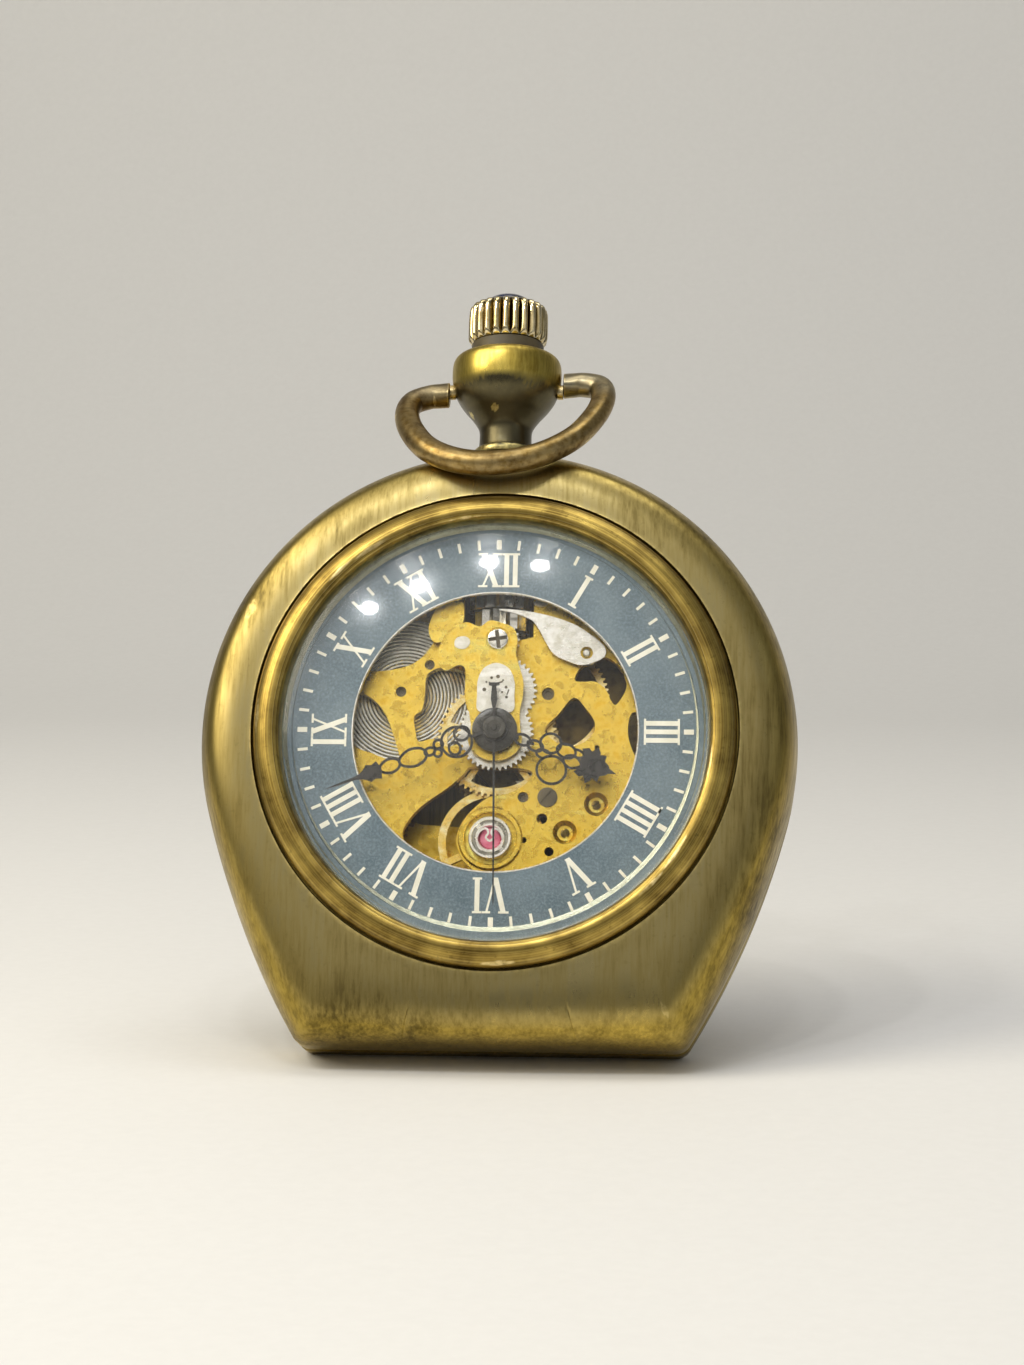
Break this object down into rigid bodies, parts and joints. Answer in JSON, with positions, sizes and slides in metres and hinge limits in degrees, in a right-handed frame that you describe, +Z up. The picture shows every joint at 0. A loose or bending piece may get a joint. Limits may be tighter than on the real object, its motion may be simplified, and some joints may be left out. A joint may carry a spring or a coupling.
{
  "type": "pocket watch",
  "caption": "Open face skeleton pocket watch in a flat-bottomed rounded brass case, with a swinging bow, fluted crown, serpentine hands and geared movement.",
  "frame": {"origin": "middle of the flat base, on its resting face", "axes": "+Z up to the crown, -Y out of the dial, +X to the right seen from the front"},
  "size_m": [0.0474, 0.015, 0.0622],
  "materials": {
    "antique_brass": "brushed, darkened with age",
    "polished_brass": "polished",
    "gilt_brass": "gilt, stippled",
    "grey_steel": "brushed",
    "bright_silver": "bright",
    "blued_steel": "blued",
    "slate_dial": "matt",
    "black_enamel": "satin",
    "jewel_ruby": "polished",
    "cabochon_stone": "polished",
    "clear_crystal": "polished"
  },
  "bodies": {
    "case": {"case_front": "antique_brass", "case_back": "antique_brass", "bezel": "polished_brass", "crystal": "clear_crystal", "pendant": "antique_brass", "bow_pin_left": "antique_brass", "bow_pin_right": "antique_brass", "movement_ring": "antique_brass", "case_clamp_left": "antique_brass", "case_clamp_right": "antique_brass", "dial_ring": "slate_dial", "main_plate": "gilt_brass", "motion_cover": "gilt_brass", "hub_tab": "bright_silver", "lever_spring": "bright_silver", "jewel_setting": "jewel_ruby", "cover_screw": "grey_steel", "plate_screw_upper": "grey_steel", "plate_screw_side": "grey_steel", "plate_screw_lower": "grey_steel", "barrel_bridge": "gilt_brass", "barrel_bridge_screw": "grey_steel", "train_bridge": "gilt_brass", "train_bridge_screw": "grey_steel", "balance_cock": "gilt_brass", "balance_cock_screw": "grey_steel", "pallet_bridge": "gilt_brass", "crown_wheel_hub": "grey_steel"},
    "bow_loop": {"bow": "antique_brass"},
    "winding_works": {"winding_pinion": "grey_steel"},
    "crown_and_stem": {"winding_stem": "grey_steel", "crown": "polished_brass", "crown_cabochon": "cabochon_stone"},
    "clutch": {"clutch_wheel": "grey_steel"},
    "setting_lever_body": {"setting_lever": "grey_steel"},
    "yoke_body": {"yoke": "grey_steel"},
    "crown_wheel_body": {"crown_wheel": "grey_steel"},
    "ratchet": {"ratchet_wheel": "grey_steel", "barrel_arbor": "grey_steel"},
    "click_body": {"click": "grey_steel"},
    "barrel_body": {"barrel": "gilt_brass", "mainspring": "grey_steel"},
    "centre": {"centre_wheel": "gilt_brass"},
    "third": {"third_wheel": "gilt_brass"},
    "fourth_and_seconds": {"fourth_wheel": "gilt_brass", "seconds_hand": "black_enamel"},
    "escape": {"escape_wheel": "grey_steel"},
    "fork": {"pallet_fork": "grey_steel"},
    "balance": {"balance_wheel": "gilt_brass", "hairspring": "blued_steel"},
    "minute_works": {"cannon_pinion": "grey_steel", "minute_hand": "black_enamel"},
    "minute_wheel_body": {"minute_wheel": "gilt_brass"},
    "hour_works": {"hour_wheel": "gilt_brass", "hour_hand": "black_enamel"},
    "setting_wheel_body": {"setting_wheel": "grey_steel"}
  },
  "joints": [
    {"name": "bow_swing", "type": "hinge", "parent": "case", "child": "bow_loop", "pos_m": [0, 0, 0.0538], "axis": [1, 0, 0], "range_deg": [-265, 0]},
    {"name": "crown_turn", "type": "hinge", "parent": "case", "child": "winding_works", "pos_m": [0, 0, 0.0357], "axis": [0, 0, 1], "continuous": true},
    {"name": "crown_pull", "type": "slide", "parent": "winding_works", "child": "crown_and_stem", "axis": [0, 0, 1], "range_m": [0, 0.0008]},
    {"name": "clutch_slide", "type": "slide", "parent": "winding_works", "child": "clutch", "axis": [0, 0, 1], "range_m": [-0.0008, 0]},
    {"name": "setting_lever_turn", "type": "hinge", "parent": "case", "child": "setting_lever_body", "pos_m": [-0.0039, -0.00275, 0.0338], "axis": [0, 1, 0], "range_deg": [-14, 14]},
    {"name": "yoke_turn", "type": "hinge", "parent": "case", "child": "yoke_body", "pos_m": [0.0039, -0.00275, 0.0368], "axis": [0, 1, 0], "range_deg": [-12, 12]},
    {"name": "crown_wheel_turn", "type": "hinge", "parent": "case", "child": "crown_wheel_body", "pos_m": [0, 0.00298, 0.0321], "axis": [0, 1, 0], "continuous": true},
    {"name": "ratchet_turn", "type": "hinge", "parent": "case", "child": "ratchet", "pos_m": [-0.0074, 0.00298, 0.0278], "axis": [0, 1, 0], "continuous": true},
    {"name": "click_turn", "type": "hinge", "parent": "case", "child": "click_body", "pos_m": [-0.01353, 0.00298, 0.0258], "axis": [0, 1, 0], "range_deg": [-8, 0]},
    {"name": "seconds_turn", "type": "hinge", "parent": "case", "child": "fourth_and_seconds", "pos_m": [0, 0.00115, 0.0244], "axis": [0, 1, 0], "continuous": true},
    {"name": "third_turn", "type": "hinge", "parent": "case", "child": "third", "pos_m": [0.004, 0.0001, 0.0278], "axis": [0, 1, 0], "continuous": true},
    {"name": "centre_turn", "type": "hinge", "parent": "case", "child": "centre", "pos_m": [0, -0.0013, 0.0244], "axis": [0, 1, 0], "continuous": true},
    {"name": "barrel_turn", "type": "hinge", "parent": "case", "child": "barrel_body", "pos_m": [-0.0074, -0.0008, 0.0278], "axis": [0, 1, 0], "continuous": true},
    {"name": "escape_turn", "type": "hinge", "parent": "case", "child": "escape", "pos_m": [0.0033, 0.0004, 0.0203], "axis": [0, 1, 0], "continuous": true},
    {"name": "fork_swing", "type": "hinge", "parent": "case", "child": "fork", "pos_m": [0.00167, 0.0004, 0.0184], "axis": [0, 1, 0], "range_deg": [-5, 5]},
    {"name": "balance_swing", "type": "hinge", "parent": "case", "child": "balance", "pos_m": [-0.0003, -0.00065, 0.0162], "axis": [0, 1, 0], "range_deg": [-270, 270]},
    {"name": "minute_turn", "type": "hinge", "parent": "case", "child": "minute_works", "pos_m": [0, -0.0049, 0.0244], "axis": [0, 1, 0], "continuous": true},
    {"name": "minute_wheel_turn", "type": "hinge", "parent": "case", "child": "minute_wheel_body", "pos_m": [0.00035, -0.0027, 0.028], "axis": [0, 1, 0], "continuous": true},
    {"name": "hour_turn", "type": "hinge", "parent": "case", "child": "hour_works", "pos_m": [0, -0.0046, 0.0244], "axis": [0, 1, 0], "continuous": true},
    {"name": "setting_wheel_turn", "type": "hinge", "parent": "case", "child": "setting_wheel_body", "pos_m": [0.00035, -0.0027, 0.03199], "axis": [0, 1, 0], "continuous": true}
  ],
  "couplings": [
    {"joint": "crown_wheel_turn", "follows": "crown_turn", "ratio": 0.64},
    {"joint": "ratchet_turn", "follows": "crown_turn", "ratio": -0.47059},
    {"joint": "clutch_slide", "follows": "crown_pull", "ratio": -1},
    {"joint": "setting_lever_turn", "follows": "crown_pull", "rad_per_m": 300},
    {"joint": "yoke_turn", "follows": "crown_pull", "rad_per_m": 250},
    {"joint": "third_turn", "follows": "seconds_turn", "ratio": -0.125},
    {"joint": "centre_turn", "follows": "seconds_turn", "ratio": 0.016667},
    {"joint": "barrel_turn", "follows": "seconds_turn", "ratio": -0.0027778},
    {"joint": "escape_turn", "follows": "seconds_turn", "ratio": -10},
    {"joint": "minute_wheel_turn", "follows": "minute_turn", "ratio": -0.33333},
    {"joint": "hour_turn", "follows": "minute_turn", "ratio": 0.083333},
    {"joint": "setting_wheel_turn", "follows": "minute_turn", "ratio": 0.70588}
  ]
}
